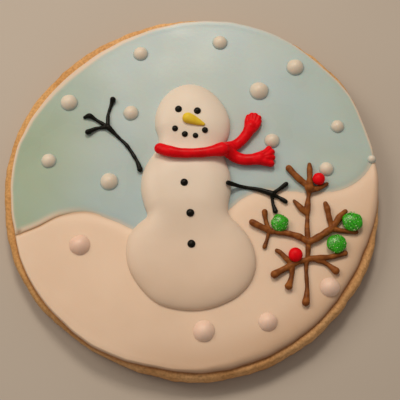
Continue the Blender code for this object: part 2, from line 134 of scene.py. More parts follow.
TWIGS = (
    (
        (27.6, -31.0, 0.95), (27.9, -29.2, 0.75), (28.1, -26.8, 0.62), (28.0, -22.6, 0.56),
        (28.2, -19.8, 0.65),
    ),
    ((28.2, -20.4, 0.6), (28.6, -17.8, 0.62), (28.8, -15.0, 0.8)),
    ((28.8, -15.4, 0.8), (28.6, -11.6, 0.7), (28.8, -8.1, 0.5)),
    ((28.8, -8.3, 0.5), (28.9, -5.4, 0.8), (29.3, -2.4, 0.6), (29.5, -0.6, 1.2)),
    ((29.5, -0.5, 1.2), (29.7, 2.0, 0.75), (29.8, 4.5, 0.75), (29.8, 6.1, 0.6)),
    ((29.3, 0.3, 0.85), (27.9, 1.2, 0.8), (26.0, 3.0, 0.95), (24.3, 5.1, 0.85)),
    ((30.0, -0.9, 0.9), (32.0, -0.5, 0.8), (34.2, 0.8, 0.5)),
    ((28.7, -7.6, 0.55), (27.1, -5.9, 0.8), (25.5, -3.9, 0.45)),
    ((28.9, -15.2, 0.9), (31.7, -13.7, 0.95), (35.0, -11.5, 0.85)),
    ((34.9, -11.2, 0.7), (34.3, -8.0, 0.8), (34.0, -6.2, 0.9), (33.6, -4.7, 0.65)),
    ((35.3, -11.3, 0.7), (37.1, -8.5, 0.95), (38.7, -6.8, 0.65)),
    ((35.2, -11.7, 0.75), (38.0, -12.1, 0.62), (41.2, -12.4, 0.62)),
    ((28.9, -15.2, 0.9), (26.0, -13.5, 0.85), (22.4, -12.6, 0.78), (18.9, -12.2, 0.78)),
    ((18.9, -12.1, 0.75), (16.4, -10.9, 0.85), (14.4, -9.8, 0.85)),
    ((18.8, -12.0, 0.7), (18.0, -9.4, 0.6), (17.7, -7.0, 0.78)),
    ((18.7, -12.4, 0.6), (18.1, -14.6, 0.52), (17.5, -16.3, 0.62)),
    ((28.5, -19.6, 0.8), (31.3, -19.4, 0.85), (34.6, -19.0, 0.72), (38.2, -18.0, 0.65)),
    ((30.9, -19.9, 0.65), (33.2, -20.8, 0.62), (35.6, -22.8, 0.9)),
    ((28.3, -19.9, 0.75), (26.5, -20.2, 0.7), (24.6, -21.0, 0.8)),
    ((24.4, -20.9, 0.75), (22.9, -19.4, 0.75), (21.5, -17.9, 0.68), (20.6, -17.3, 0.5)),
    ((24.6, -21.1, 0.8), (21.9, -22.5, 0.8), (19.8, -23.7, 0.98)),
    ((24.5, -21.2, 0.8), (24.2, -24.2, 0.6), (23.4, -26.7, 1.05)),
)

# Baubles in mm: x, y, width, height
RED_BAUBLES = ((32.0, 1.8, 3.3, 2.6), (25.3, -18.7, 3.7, 2.7))
GREEN_BAUBLES = ((21.5, -10.2, 4.5, 2.2), (40.3, -9.8, 5.2, 2.3), (36.0, -15.8, 5.0, 2.3))


# Shape helpers

def spline_value(before, here, there, after, t):
    """A smooth curve through evenly spaced values, t of the way from here to there."""
    bend = 2 * before - 5 * here + 4 * there - after
    twist = 3 * (here - there) + after - before
    return here + 0.5 * t * (there - before + t * (bend + t * twist))


def ring_radius(edge, angle):
    """Distance from the centre to a hand-made edge at an angle."""
    place = angle / FULL_TURN * len(edge)
    start = math.floor(place)
    values = [edge[(start + k) % len(edge)] for k in (-1, 0, 1, 2)]
    return spline_value(*values, place - start)


def ring_point(edge, angle):
    """Point of a hand-made edge at an angle."""
    radius = ring_radius(edge, angle)
    return np.array((radius * math.cos(angle), radius * math.sin(angle)))


def smooth_path(points, steps):
    """The points of a smooth curve through the given ones, with steps points to each span."""
    points = [np.array(point, float) for point in points]
    ends = [2 * points[0] - points[1], *points, 2 * points[-1] - points[-2]]
    path = []
    for i in range(1, len(ends) - 2):
        path += [spline_value(*ends[i - 1:i + 3], k / steps) for k in range(steps)]
    return np.array([*path, points[-1]])


def even_path(path, spacing):
    """The same polyline with its points a spacing apart."""
    path = np.asarray(path, float)
    steps = np.linalg.norm(np.diff(path[:, :2], axis=0), axis=1)
    along = np.concatenate(([0], np.cumsum(steps)))
    count = max(2, int(round(along[-1] / spacing)) + 1)
    places = np.linspace(0, along[-1], count)
    return np.column_stack([np.interp(places, along, path[:, k]) for k in range(path.shape[1])])


def distance_to(points, polyline):
    """Distance of each point to a polyline, a batch of points at a time."""
    batch = 2000
    start = polyline[:-1]
    step = np.diff(polyline, axis=0)
    length = np.maximum((step ** 2).sum(1), 1e-12)
    result = np.empty(len(points))
    for first in range(0, len(points), batch):
        part = points[first:first + batch, None, :]
        share = np.clip(((part - start) * step).sum(2) / length, 0, 1)
        gap = part - (start + share[..., None] * step)
        result[first:first + batch] = np.sqrt((gap ** 2).sum(2).min(1))
    return result


def round_over(distance, width, power=2.2):
    """0 at an edge, rising steeply and rounding to 1 at width inside it."""
    out = 1 - np.clip(distance / width, 0, 1)
    return (1 - out ** power) ** (1 / power)


def smooth_step(value, low, high):
    """0 under low, 1 over high, smooth between them."""
    share = np.clip((value - low) / (high - low), 0, 1)
    return share * share * (3 - 2 * share)


def unit(rows):
    """The same directions, each of length 1."""
    return rows / np.linalg.norm(rows, axis=1)[:, None]


def left_of(rows):
    """The same directions turned a quarter to the left."""
    return np.column_stack((-rows[:, 1], rows[:, 0]))


def bell(value, middle, width):
    """1 at the middle, falling smoothly to nearly 0 at twice the width from it."""
    return np.exp(-((value - middle) / width) ** 2)


def ripple(x, y, scale, seed):
    """Soft random height at a place, about -1 to 1."""
    return noise.noise(Vector((x / scale, y / scale, seed)))


def add_object(name, data):
    """An object in the scene, with its mesh, camera or light."""
    obj = bpy.data.objects.new(name, data)
    bpy.context.scene.collection.objects.link(obj)
    return obj


def new_object(name, vertices, faces):
    """A smooth-shaded mesh object from vertices in mm."""
    mesh = bpy.data.meshes.new(name)
    mesh.from_pydata((np.asarray(vertices, float) * MM).tolist(), [], faces)
    mesh.validate()
    mesh.update()
    mesh.shade_smooth()
    return add_object(name, mesh)


def grid_faces(rows, columns, first=0):
    """Quads between rings of columns vertices, each ring closed on itself."""
    faces = []
    for row in range(rows - 1):
        low = first + row * columns
        for k in range(columns):
            after = (k + 1) % columns
            faces.append((low + k, low + after, low + columns + after, low + columns + k))
    return faces


def attribute(obj, name, values):
    """Stores one number for each vertex, which the material reads."""
    layer = obj.data.attributes.new(name, "FLOAT", "POINT")
    layer.data.foreach_set("value", np.asarray(values, np.float32))


def join(parts):
    """Vertices and faces of several closed shapes as one."""
    vertices = []
    faces = []
    for part_vertices, part_faces in parts:
        shift = len(vertices)
        vertices += list(part_vertices)
        faces += [tuple(index + shift for index in face) for face in part_faces]
    return vertices, faces


def melt(name, parts, voxel, rounds):
    """One skin over closed shapes that overlap, its joins softened as wet icing runs together."""
    obj = new_object(name, *join(parts))
    remesh = obj.modifiers.new("skin", "REMESH")
    remesh.mode = "VOXEL"
    remesh.voxel_size = voxel * MM
    soften = obj.modifiers.new("soften", "SMOOTH")
    soften.factor = 0.5
    soften.iterations = rounds
    bpy.context.view_layer.update()
    mesh = bpy.data.meshes.new_from_object(obj.evaluated_get(bpy.context.evaluated_depsgraph_get()))
    obj.modifiers.clear()
    obj.data = mesh
    mesh.shade_smooth()
    return obj


def settle(obj, slot, *nodes):
    """Puts a piece on the root body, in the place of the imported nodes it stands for."""
    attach(obj, "root")
    if nodes:
        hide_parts(*nodes)
    return obj


# Biscuit

TURNS = 640  # vertices round each row
FOOT_ROUNDING = 0.8
TOP_ROUNDING = 1.5
SIDE_TOP = BISCUIT_TOP - TOP_ROUNDING
SIDE_BULGE = 0.15  # how far the middle of the side stands out
SIDE_LEAN = 0.1  # how much further in its top is
FOOT_ROWS = 4
SIDE_ROWS = 9
TOP_ROWS = 6
LEDGE_ROWS = 9  # of the top, in under the icing
LEDGE_STEP = 0.45
UNDERSIDE_SHARES = [k / 56 for k in range(1, 53)]
UNDERSIDE_INSETS = (3.0, 2.4, 1.9, 1.4, 1.0)
COVERED_SHARES = (0.85, 0.7, 0.5, 0.3, 0.15)  # rows of the top that the icing hides
CENTRE_DROP = 0.1  # of the hidden middle of the top
CRUMB_FINE = (1.5, 0.07)  # size, depth
CRUMB_DETAIL = (0.8, 2.1, 3)  # of the fine crumb: roughness, step, count
CRUMB_BROAD = (8, 0.1)
CRUMB_PITS = (0.8, 0.6)
PIT_SHIFT = Vector((9, 4, 7))  # so that the pits don't follow the other two
PIT_RARITY = 0.42
CRUMB_LEVEL = 0.12  # how far the crumb lies under the edge's measure
UNDERSIDE_RELIEF = 0.8  # of the crumb's depth
DENTS = ((0.3, 4.2, 8.0), (0.12, 1.7, 9.0))  # of soft dough in the edge: depth, size, seed
DENT_REACH = 50  # circle that they are read along
DENT_SHIFT = 0.1  # outward, to make up for the crumb
# Painted shadow under the icing's edge, on the lower half of the biscuit's top
ICING_SHADOW_WIDTH = 0.5
ICING_SHADOW_FADE = 20.0  # the painted shadow gets its full strength this far towards -Y
ICING_SHADOW_STRENGTH = (0.75, 0.25, 0.8)  # mean, swing, shift: darkest at the lower right


def biscuit_profile():
    """Rows from the centre of the underside round the edge to the centre of the top.

    Each is the share of the edge's distance, how far inside that, the height, and the way the surface
    faces there, outward and upward.
    """
    rows = [(share, 0, 0, 0, -1) for share in UNDERSIDE_SHARES]
    rows += [(1, inset, 0, 0, -1) for inset in UNDERSIDE_INSETS]
    for k in range(1, FOOT_ROWS + 1):
        lean = math.pi / 2 * k / FOOT_ROWS
        inset = SIDE_BULGE + FOOT_ROUNDING * (1 - math.sin(lean))
        rows.append((1, inset, FOOT_ROUNDING * (1 - math.cos(lean)), math.sin(lean), -math.cos(lean)))
    for k in range(1, SIDE_ROWS + 1):
        share = k / SIDE_ROWS
        height = FOOT_ROUNDING + (SIDE_TOP - FOOT_ROUNDING) * share
        inset = SIDE_BULGE * (1 - math.sin(math.pi * share)) + SIDE_LEAN * share
        rows.append((1, inset, height, 1, 0))
    side_inset = SIDE_BULGE + SIDE_LEAN
    for k in range(1, TOP_ROWS + 1):
        lean = math.pi / 2 * k / TOP_ROWS
        inset = side_inset + TOP_ROUNDING * (1 - math.cos(lean))
        rows.append((1, inset, SIDE_TOP + TOP_ROUNDING * math.sin(lean), math.cos(lean), math.sin(lean)))
    for k in range(1, LEDGE_ROWS + 1):
        rows.append((1, side_inset + TOP_ROUNDING + LEDGE_STEP * k, BISCUIT_TOP, 0, 1))
    rows += [(share, 0, BISCUIT_TOP, 0, 1) for share in COVERED_SHARES]
    return rows


def crumb(place):
    """Relief of the baked surface at a place, in mm, never above 0."""
    fine_size, fine_depth = CRUMB_FINE
    broad_size, broad_depth = CRUMB_BROAD
    pit_size, pit_depth = CRUMB_PITS
    fine = noise.fractal(place / fine_size, *CRUMB_DETAIL)
    broad = noise.noise(place / broad_size)
    pit = max(0, noise.noise(place / pit_size + PIT_SHIFT) - PIT_RARITY)
    return min(0, fine_depth * fine + broad_depth * broad - pit_depth * pit - CRUMB_LEVEL)


def biscuit_radius(turn):
    """Distance from the centre to the biscuit's edge, with the small dents of soft dough."""
    x, y = DENT_REACH * math.cos(turn), DENT_REACH * math.sin(turn)
    dents = sum(depth * ripple(x, y, size, seed) for depth, size, seed in DENTS)
    return ring_radius(BISCUIT_EDGE, turn) + DENT_SHIFT + dents


def painted_icing_shadow(x, y, height):
    """How dark the painted shadow under the icing's edge is at a place: on the biscuit's top, along the
    lower half.
    """
    if height <= SIDE_TOP or y >= 0:
        return 0.0
    turn = math.atan2(y, x)
    mean, swing, shift = ICING_SHADOW_STRENGTH
    strength = min(1, -y / ICING_SHADOW_FADE) * (mean + swing * math.sin(turn / 2 + shift))
    return strength * bell(math.hypot(x, y), ring_radius(ICING_EDGE, turn), ICING_SHADOW_WIDTH)


def make_biscuit():
    """The baked round with its crumb."""
    vertices = [(0, 0, 0)]
    turns = [FULL_TURN * k / TURNS for k in range(TURNS)]
    edges = [biscuit_radius(turn) for turn in turns]
    profile = biscuit_profile()
    for share, inset, height, outward, upward in profile:
        for turn, edge in zip(turns, edges):
            radius = share * edge - inset
            place = Vector((radius * math.cos(turn), radius * math.sin(turn), height))
            depth = crumb(place)
            if upward == -1:
                place.z = max(0, -UNDERSIDE_RELIEF * depth - CRUMB_LEVEL)
            else:
                place += depth * Vector((outward * math.cos(turn), outward * math.sin(turn), upward))
            vertices.append(place)
    rows = len(profile)
    faces = [(0, 1 + (k + 1) % TURNS, 1 + k) for k in range(TURNS)]
    faces += grid_faces(rows, TURNS, 1)
    last = 1 + (rows - 1) * TURNS
    vertices.append((0, 0, BISCUIT_TOP - CENTRE_DROP))
    faces += [(last + k, last + (k + 1) % TURNS, len(vertices) - 1) for k in range(TURNS)]
    obj = new_object("biscuit_baked", vertices, faces)
    # the painted shadow under the icing's edge, which the material reads
    attribute(obj, "painted_icing_shadow", [painted_icing_shadow(*place) for place in vertices])
    return settle(obj, "biscuit", "biscuit")


# Flood icing

FLOOD_SPACING = 0.8  # between the points of its surface
EDGE_INSETS = (0.05, 0.12, 0.2, 0.3, 0.42, 0.56, 0.74, 0.96, 1.25, 1.6, 2.1, 2.7)
EDGE_STEP = math.radians(0.55)
EDGE_WAVES = (0.2, 1.7, 3.0)  # height, size, seed
EDGE_WAVE_REACH = 20.0
EDGE_WIDTHS = (0.5, 3.4)  # how far in it is at full height, mostly and where it is slack
SLACK_WAY = (0.75, -0.66)  # towards the lower right
SLACK_FROM_TO = (26, 46)  # how far that way it begins and is fully slack
RIDGE = (0.04, 1.3, 0.6)  # the raised outline along the edge: height, how far in, width
DRIFT_SPACING = 0.45
OVERLAP = 0.12  # of sky and snow along the drift line
CREASE_LEFT = (-42.0, -30.0)  # between these x the join's sharp part fades out
CREASE_DEPTH = 0.36
CREASE_SHOULDERS = (0.8, 1.2)  # on the sky's side, on the snow's side
VALLEY_DEPTH = 0.2  # of the soft part
VALLEY_WIDTHS = (1.1, 1.7)
PIT = (-45.9, -12.4)  # where the join meets the edge
PIT_WIDTH = 0.6
PIT_DEPTH = 0.45
FLOOD_WAVES = (0.05, 9.0)  # of the surface: height, size
WAVES_FROM_TO = (0.5, 4)  # how far in they begin and are full
FLOOD_DROP = 0.03  # of its surface under the model's level
FLOOD_BASE = BISCUIT_TOP - 0.12
FLOOD_FLOOR = BISCUIT_TOP - 1.0
SPAN_STEPS = 12  # of a smooth line, between two listed points
RING_KEPT = 0.96  # share of its inset that a ring's point must keep
GRID_ROWS = 0.866  # of the spacing, between rows
GRID_MARGIN = 0.6  # of the spacing, from the last ring to the grid

# The white outline under the blue shows along the edge and the drift line
WHITE_EDGE = (0.4, 1.1)  # how far in it begins to fade and is gone
WHITE_WIDER = (0.75, 134, 26)  # at the upper left: by how much, around which degree, how wide
WHITE_FADE = 1.3  # how much more of that its inner end gets
WHITE_FAINTER = (0.6, 68, 28)  # at the upper right, in the same way
WHITE_LEFT = (-40, -24)  # x where the drift line's wide white band fades out
WHITE_BAND = (0.4, 2.2)
WHITE_LINE = (0.55, 1.2)  # strength, width

# Painted shade in the tone of dough: a dark line in the crease, a dark pit, and darkening to the lower right
# edge
FLOOD_SHADE_LEFT = (-36, -16)  # x where the painted dark line in the crease fades out
FLOOD_SHADE_LINE = 0.45
FLOOD_SHADE_PIT = (1.1, math.sqrt(0.5))  # strength, width
FLOOD_SHADE_WAY = (0.6, -0.8)
FLOOD_SHADE_FROM_TO = (18, 40)
FLOOD_SHADE_EDGE = (0.6, 0.5, 11)  # strength, and how far in it begins to fade and is gone


def drift_line(shift=0.0):
    """The line where sky and snow meet, moved towards the sky by shift."""
    ends = [ring_point(ICING_EDGE, angle) for angle in DRIFT_ENDS]
    path = even_path(smooth_path([ends[0], *DRIFT_POINTS, ends[1]], SPAN_STEPS), DRIFT_SPACING)
    return path + shift * left_of(unit(np.gradient(path, axis=0)))


def icing_ring(first, last):
    """The hand-drawn edge of the icing between two angles, a hair wavy."""
    height, size, seed = EDGE_WAVES
    count = max(2, round((last - first) / EDGE_STEP))
    points = []
    for k in range(count + 1):
        turn = first + (last - first) * k / count
        way = np.array((math.cos(turn), math.sin(turn)))
        wave = height * ripple(*(EDGE_WAVE_REACH * way), size, seed)
        points.append((ring_radius(ICING_EDGE, turn) + wave) * way)
    return np.array(points)


def flood_outline(side):
    """Outline of one flood: side is 1 for the sky over the drift line, -1 for the snow under it."""
    line = drift_line(-side * OVERLAP)
    first, last = DRIFT_ENDS[1], DRIFT_ENDS[0]
    if side < 0:
        line = line[::-1]
        first, last = last, first + FULL_TURN
    ring = icing_ring(first, last)[1:-1]
    return np.vstack((ring, line))


def inside(points, outline):
    """Which points lie within a closed outline."""
    x, y = points[:, 0], points[:, 1]
    result = np.zeros(len(points), bool)
    after = np.roll(outline, -1, axis=0)
    for (x1, y1), (x2, y2) in zip(outline, after):
        if y1 != y2:
            crossing = (y1 > y) != (y2 > y)
            result ^= crossing & (x < x1 + (y - y1) / (y2 - y1) * (x2 - x1))
    return result


def spread_points(outline, insets, spacing):
    """Points over the area of an outline: rings close along its edge, an even grid within them."""
    closed = np.vstack((outline, outline[:1]))
    inward = left_of(unit(np.roll(outline, -1, axis=0) - np.roll(outline, 1, axis=0)))
    chosen = []
    for inset in insets:
        ring = outline + inset * inward
        near = distance_to(ring, closed) > RING_KEPT * inset
        chosen.append(ring[near & inside(ring, outline)])
    low, high = outline.min(0), outline.max(0)
    rows = []
    for row, y in enumerate(np.arange(low[1], high[1], spacing * GRID_ROWS)):
        xs = np.arange(low[0], high[0], spacing) + (row % 2) * spacing / 2
        rows.append(np.column_stack((xs, np.full(len(xs), y))))
    grid = np.vstack(rows)
    grid = grid[inside(grid, outline)]
    chosen.append(grid[distance_to(grid, closed) > insets[-1] + GRID_MARGIN * spacing])
    return np.vstack(chosen)


def triangles(outline, within):
    """Triangles that use every point within an outline, and which vertex each outline point became."""
    points = [Vector(point) for point in np.vstack((outline, within))]
    ring = [list(range(len(outline)))]
    places, _, faces, origins, _, _ = geometry.delaunay_2d_cdt(points, [], ring, 1, 1e-6)
    became = {origin: index for index, found in enumerate(origins) for origin in found}
    edge = [became[k] for k in range(len(outline))]
    return np.array([tuple(place) for place in places]), [tuple(face) for face in faces], edge


def relief(name, outline, insets, spacing, surface, floor):
    """A closed piece over an outline: surface gives the height of its places, its floor is flat."""
    places, faces, top = triangles(outline, spread_points(outline, insets, spacing))
    floor_places, floor_faces, low = triangles(outline, np.empty((0, 2)))
    count = len(places)
    vertices = np.vstack((
        np.column_stack((places, surface(places))),
        np.column_stack((floor_places, np.full(len(floor_places), floor))),
    ))
    faces += [tuple(index + count for index in reversed(face)) for face in floor_faces]
    for k in range(len(outline)):
        after = (k + 1) % len(outline)
        faces.append((low[k] + count, low[after] + count, top[after], top[k]))
    return new_object(name, vertices, faces), places


def pit_distance(points):
    """Distance of places to the pit at the left end of the drift line."""
    return np.hypot(points[:, 0] - PIT[0], points[:, 1] - PIT[1])


def flood_surface(points, side):
    """Height of a flood at places, with the distance to its outer edge and to the drift line."""
    ring = icing_ring(0, FULL_TURN)
    line = drift_line()
    outer = distance_to(points, ring)
    above = side * (points[:, 1] - np.interp(points[:, 0], line[:, 0], line[:, 1]))
    drift = distance_to(points, line) * np.where(above > 0, 1, 0)
    narrow, wide = EDGE_WIDTHS
    slack = smooth_step(points @ SLACK_WAY, *SLACK_FROM_TO)
    rise = round_over(outer, narrow + (wide - narrow) * slack)
    part = 0 if side > 0 else 1
    sharp = 1 - smooth_step(points[:, 0], *CREASE_LEFT)
    dip = sharp * CREASE_DEPTH * (1 - round_over(drift, CREASE_SHOULDERS[part]))
    dip += (1 - sharp) * VALLEY_DEPTH * bell(drift, 0, VALLEY_WIDTHS[part])
    dip += PIT_DEPTH * bell(pit_distance(points), 0, PIT_WIDTH)
    wave_height, wave_size = FLOOD_WAVES
    waves = wave_height * np.array([ripple(x, y, wave_size, 5.0 * side) for x, y in points])
    ridge_height, ridge_inset, ridge_width = RIDGE
    ridge = ridge_height * bell(outer, ridge_inset, ridge_width)
    full = ICING_TOP - FLOOD_DROP - dip + waves * smooth_step(outer, *WAVES_FROM_TO) + ridge
    return FLOOD_BASE + (full - FLOOD_BASE) * rise, outer, drift


def white_share(places, outer, drift):
    """How much of the white outline shows at places."""
    turn = np.degrees(np.arctan2(places[:, 1], places[:, 0]))
    extra, *widest = WHITE_WIDER
    extra *= bell(turn, *widest)
    loss, *faintest = WHITE_FAINTER
    low, high = WHITE_EDGE
    edge = 1 - smooth_step(outer, low + extra, high + WHITE_FADE * extra)
    edge *= 1 - loss * bell(turn, *faintest)
    band = (1 - smooth_step(places[:, 0], *WHITE_LEFT)) * (1 - smooth_step(drift, *WHITE_BAND))
    strength, width = WHITE_LINE
    line = strength * (1 - smooth_step(drift, 0.0, width))
    return np.maximum(edge, np.maximum(band, line))


def painted_flood_shade_share(places, outer):
    """How much painted shade, in the tone of dough, falls at places."""
    line = 1 - smooth_step(places[:, 0], *FLOOD_SHADE_LEFT)
    line *= bell(distance_to(places, drift_line()), 0, FLOOD_SHADE_LINE)
    pit_strength, pit_width = FLOOD_SHADE_PIT
    pit = pit_strength * bell(pit_distance(places), 0, pit_width)
    edge_strength, low, high = FLOOD_SHADE_EDGE
    edge = edge_strength * smooth_step(places @ FLOOD_SHADE_WAY, *FLOOD_SHADE_FROM_TO)
    edge *= 1 - smooth_step(outer, low, high)
    return np.maximum(line, np.maximum(pit, edge))


def make_flood(name, side, slot, node):
    """One flood of icing: a rounded edge, a soft crease along the drift line and a closed underside."""
    obj, places = relief(
        name, flood_outline(side), EDGE_INSETS, FLOOD_SPACING,
        lambda points: flood_surface(points, side)[0], FLOOD_FLOOR,
    )
    _, outer, drift = flood_surface(places, side)
    under = np.zeros(len(obj.data.vertices) - len(places))
    attribute(obj, "pale", np.concatenate((white_share(places, outer, drift), under)))
    # painted shade in the crease, the pit and towards the lower right edge
    attribute(obj, "painted_flood_shade", np.concatenate((painted_flood_shade_share(places, outer), under)))
    return settle(obj, slot, node)


# Drops and balls of icing

DOT_RISE = 0.38  # share of its diameter that a snow dot stands up
DOT_SOFTNESS = 1.5
DOT_DEPTH = 0.4  # how far it reaches into the flood
DROP_REACH = 3  # circle that its uneven edge is read along
DROP_WAVE = 2.0


def drop(x, y, foot, width, rise, depth, seed=0.0, softness=1.0, segments=40, rings=20, uneven=0.045):
    """A round drop on a surface, a little uneven: its rise above foot and its depth below it.

    A softness over 1 lets its sides lean in, as icing does that has begun to sink.
    """
    vertices = [(x, y, foot + rise)]
    for row in range(1, rings):
        lean = math.pi * row / rings
        height = depth * math.cos(lean)
        if lean < math.pi / 2:
            height = rise * math.cos(lean) ** softness
        for k in range(segments):
            turn = FULL_TURN * k / segments
            out = math.sin(lean) * width / 2
            wave = ripple(DROP_REACH * math.cos(turn), DROP_REACH * math.sin(turn), DROP_WAVE, seed)
            out *= 1 + uneven * wave
            vertices.append((x + out * math.cos(turn), y + out * math.sin(turn), foot + height))
    vertices.append((x, y, foot - depth))
    last = 1 + (rings - 2) * segments
    faces = [(0, 1 + k, 1 + (k + 1) % segments) for k in range(segments)]
    faces += [tuple(reversed(face)) for face in grid_faces(rings - 1, segments, 1)]
    faces += [(last + (k + 1) % segments, last + k, len(vertices) - 1) for k in range(segments)]
    return vertices, faces


def make_dots(name, dots, slot, node, side):
    """Snow dots dropped on wet icing: they stand up from its surface."""
    parts = []
    for order, (x, y, width) in enumerate(dots):
        foot = flood_surface(np.array([(x, y)]), side)[0][0]
        rise = ICING_TOP + DOT_RISE * width - foot
        seed = 1.7 * order + side
        parts.append(drop(x, y, foot, width, rise, DOT_DEPTH, seed, DOT_SOFTNESS))
    obj = new_object(name, *join(parts))
    return settle(obj, slot, node)


# Snowman

BODY_INSETS = (0.02, 0.06, 0.13, 0.24, 0.4, 0.6, 0.85, 1.15, 1.5, 1.95, 2.5, 3.2, 4.0)
BODY_SPACING = 0.6
BODY_STEP = 0.4  # along its outline
BODY_RISE = 3.25
BODY_SHOULDER = 8.2  # how far in the body is at its full height
BODY_POWER = 2.3
BODY_DROP = 0.04  # of its foot under the flood's level
BODY_DEPTH = 0.7  # of its hidden floor
NECK = (0.6, 11, 4)  # depth, y, width
WAIST_DROP = 0.9  # how much lower the body lies from the waist down
WAIST_FROM_TO = (3.5, 15.5)  # where that begins and is full, towards -Y
FACE_RISE = 0.35  # the same for a drop of the face
FACE_SINK = 0.05
NOSE_SINK = 0.6  # of its radius
NOSE_FLATNESS = 0.8


def body_outline():
    """The snowman's outline as a smooth closed line, counter-clockwise."""
    points = [np.array(point) for point in BODY_OUTLINE]
    count = len(points)
    path = []
    for i in range(count):
        four = [points[(i + k) % count] for k in (-1, 0, 1, 2)]
        path += [spline_value(*four, k / SPAN_STEPS) for k in range(SPAN_STEPS)]
    return even_path(np.vstack((path, path[:1])), BODY_STEP)[:-1]


BODY_EDGE = body_outline()


def body_height(points):
    """How far the snowman stands up over the icing, less at the neck and under the waist."""
    points = np.asarray(points, float).reshape(-1, 2)
    y = points[:, 1]
    depth = distance_to(points, np.vstack((BODY_EDGE, BODY_EDGE[:1])))
    share = round_over(depth, BODY_SHOULDER, BODY_POWER) * inside(points, BODY_EDGE)
    neck_dip, *neck = NECK
    full = BODY_RISE + GAP - neck_dip * bell(y, *neck)
    full -= WAIST_DROP * smooth_step(-y, *WAIST_FROM_TO)
    return full * share


def ground(x, y):
    """Height of the icing or of the snowman at a place."""
    return ICING_TOP + body_height([(x, y)])[0]


def make_snowman():
    """Body of one run of thick icing, with the black face and buttons and the nose on it."""
    body, _ = relief(
        "snowman_body", BODY_EDGE, BODY_INSETS, BODY_SPACING,
        lambda points: ICING_TOP - BODY_DROP + body_height(points), ICING_TOP - BODY_DEPTH,
    )
    settle(body, "white_icing", "snowman")
    parts = []
    for order, (x, y, width) in enumerate((*EYES, *MOUTH, *BUTTONS)):
        foot = ground(x, y) - FACE_SINK
        rise = FACE_RISE * width
        parts.append(drop(x, y, foot, width, rise, rise, seed=2.3 * order, segments=28, rings=14))
    settle(new_object("face_and_buttons", *join(parts)), "black_icing", "snowman")
    nose = [(x, y, radius, ground(x, y) - NOSE_SINK * radius) for x, y, radius in NOSE]
    nose_skin = melt("carrot_nose", [tube(nose, NOSE_FLATNESS)], voxel=0.1, rounds=3)
    settle(nose_skin, "yellow_icing", "snowman")


# Piped lines

LINE_STEPS = 10
LINE_SPACING = 0.22
LINE_SIDES = 20
LINE_WAVE = 1.7  # size of the uneven stretches
LINE_SINK = 0.12  # how far a line sinks into what it lies on
LINE_LIFT = 0.03  # between lines that cross
LINE_LAYERS = 5
TIP_LEANS = (15, 30, 45, 60, 75, 86)  # degrees, of the rows that round off an end


def round_tip(here, before):
    """Stations that round off a piped line at its end, here, which the line reaches from before."""
    outward = here[:2] - before[:2]
    outward /= np.linalg.norm(outward)
    tips = []
    for lean in TIP_LEANS:
        reach = math.sin(math.radians(lean)) * here[2]
        share = math.cos(math.radians(lean))
        tips.append((*(here[:2] + outward * reach), here[2], here[3], share))
    return tips


def tube(points, flatness, uneven=0.0, seed=0.0):
    """A closed piped line with round ends, from x, y, radius and underside height at each point."""
    path = even_path(smooth_path(points, LINE_STEPS), LINE_SPACING)
    first = round_tip(path[0], path[1])
    last = round_tip(path[-1], path[-2])
    stations = np.array([*reversed(first), *[(*point, 1.0) for point in path], *last])
    across = left_of(unit(np.gradient(stations[:, :2], axis=0)))
    vertices = []
    for (x, y, radius, foot, share), sideways in zip(stations, across):
        wave = 1 + uneven * ripple(x + seed, y - seed, LINE_WAVE, seed)
        reach = sideways * radius * wave * share
        half = radius * flatness
        for k in range(LINE_SIDES):
            turn = FULL_TURN * k / LINE_SIDES
            spot = np.array((x, y)) + reach * math.cos(turn)
            vertices.append((*spot, foot + half + half * wave * share * math.sin(turn)))
    count = len(stations)
    faces = [tuple(reversed(face)) for face in grid_faces(count, LINE_SIDES)]
    faces.append(tuple(range(LINE_SIDES)))
    faces.append(tuple(reversed(range((count - 1) * LINE_SIDES, count * LINE_SIDES))))
    return vertices, faces


def laid(points, lift):
    """Points of a piped line with the height at which it lies on the highest spot under it."""
    result = []
    for x, y, radius in points:
        around = [(x, y)]  # then six more, a radian apart
        around += [(x + radius * math.cos(turn), y + radius * math.sin(turn)) for turn in range(6)]
        result.append((x, y, radius, ICING_TOP + body_height(around).max() - LINE_SINK + lift))
    return result


def strokes(lines, flatness, uneven):
    """Several piped lines, each laid a hair higher than the one before it."""
    return [
        tube(laid(points, LINE_LIFT * (order % LINE_LAYERS)), flatness, uneven, seed=3.1 * order)
        for order, points in enumerate(lines)
    ]


def make_scarf():
    """A thick band across the neck, knotted at one side, with two tails that end in fringes."""
    parts = strokes((SCARF_BAND, *SCARF_TAILS), flatness=0.86, uneven=0.05)
    parts += strokes(SCARF_FRINGE, flatness=1.25, uneven=0.1)
    settle(melt("scarf_piped", parts, voxel=0.13, rounds=3), "red_icing", "scarf")


def make_arms():
    """Two stick arms with three fingers each."""
    left = melt("arm_left_piped", strokes(ARM_LEFT, flatness=1.0, uneven=0.26), voxel=0.1, rounds=4)
    settle(left, "black_icing", "arm_left")
    right = melt("arm_right_piped", strokes(ARM_RIGHT, flatness=1.0, uneven=0.2), voxel=0.1, rounds=4)
    settle(right, "black_icing", "arm_right")


# Twig tree

BAUBLE_DEPTH = GAP + 0.1  # how much longer a bauble's lower half is
FLAKES = 90  # on each green bauble
FLAKE_SIZES = (0.09, 0.22)
FLAKE_TILT = 0.5
FLAKE_HALF = 0.02  # half its thickness


def bauble(x, y, width, height, **shape):
    """A ball of icing on the flood."""
    half = height / 2
    return drop(x, y, ICING_TOP + GAP + half, width, half, half + BAUBLE_DEPTH, **shape)


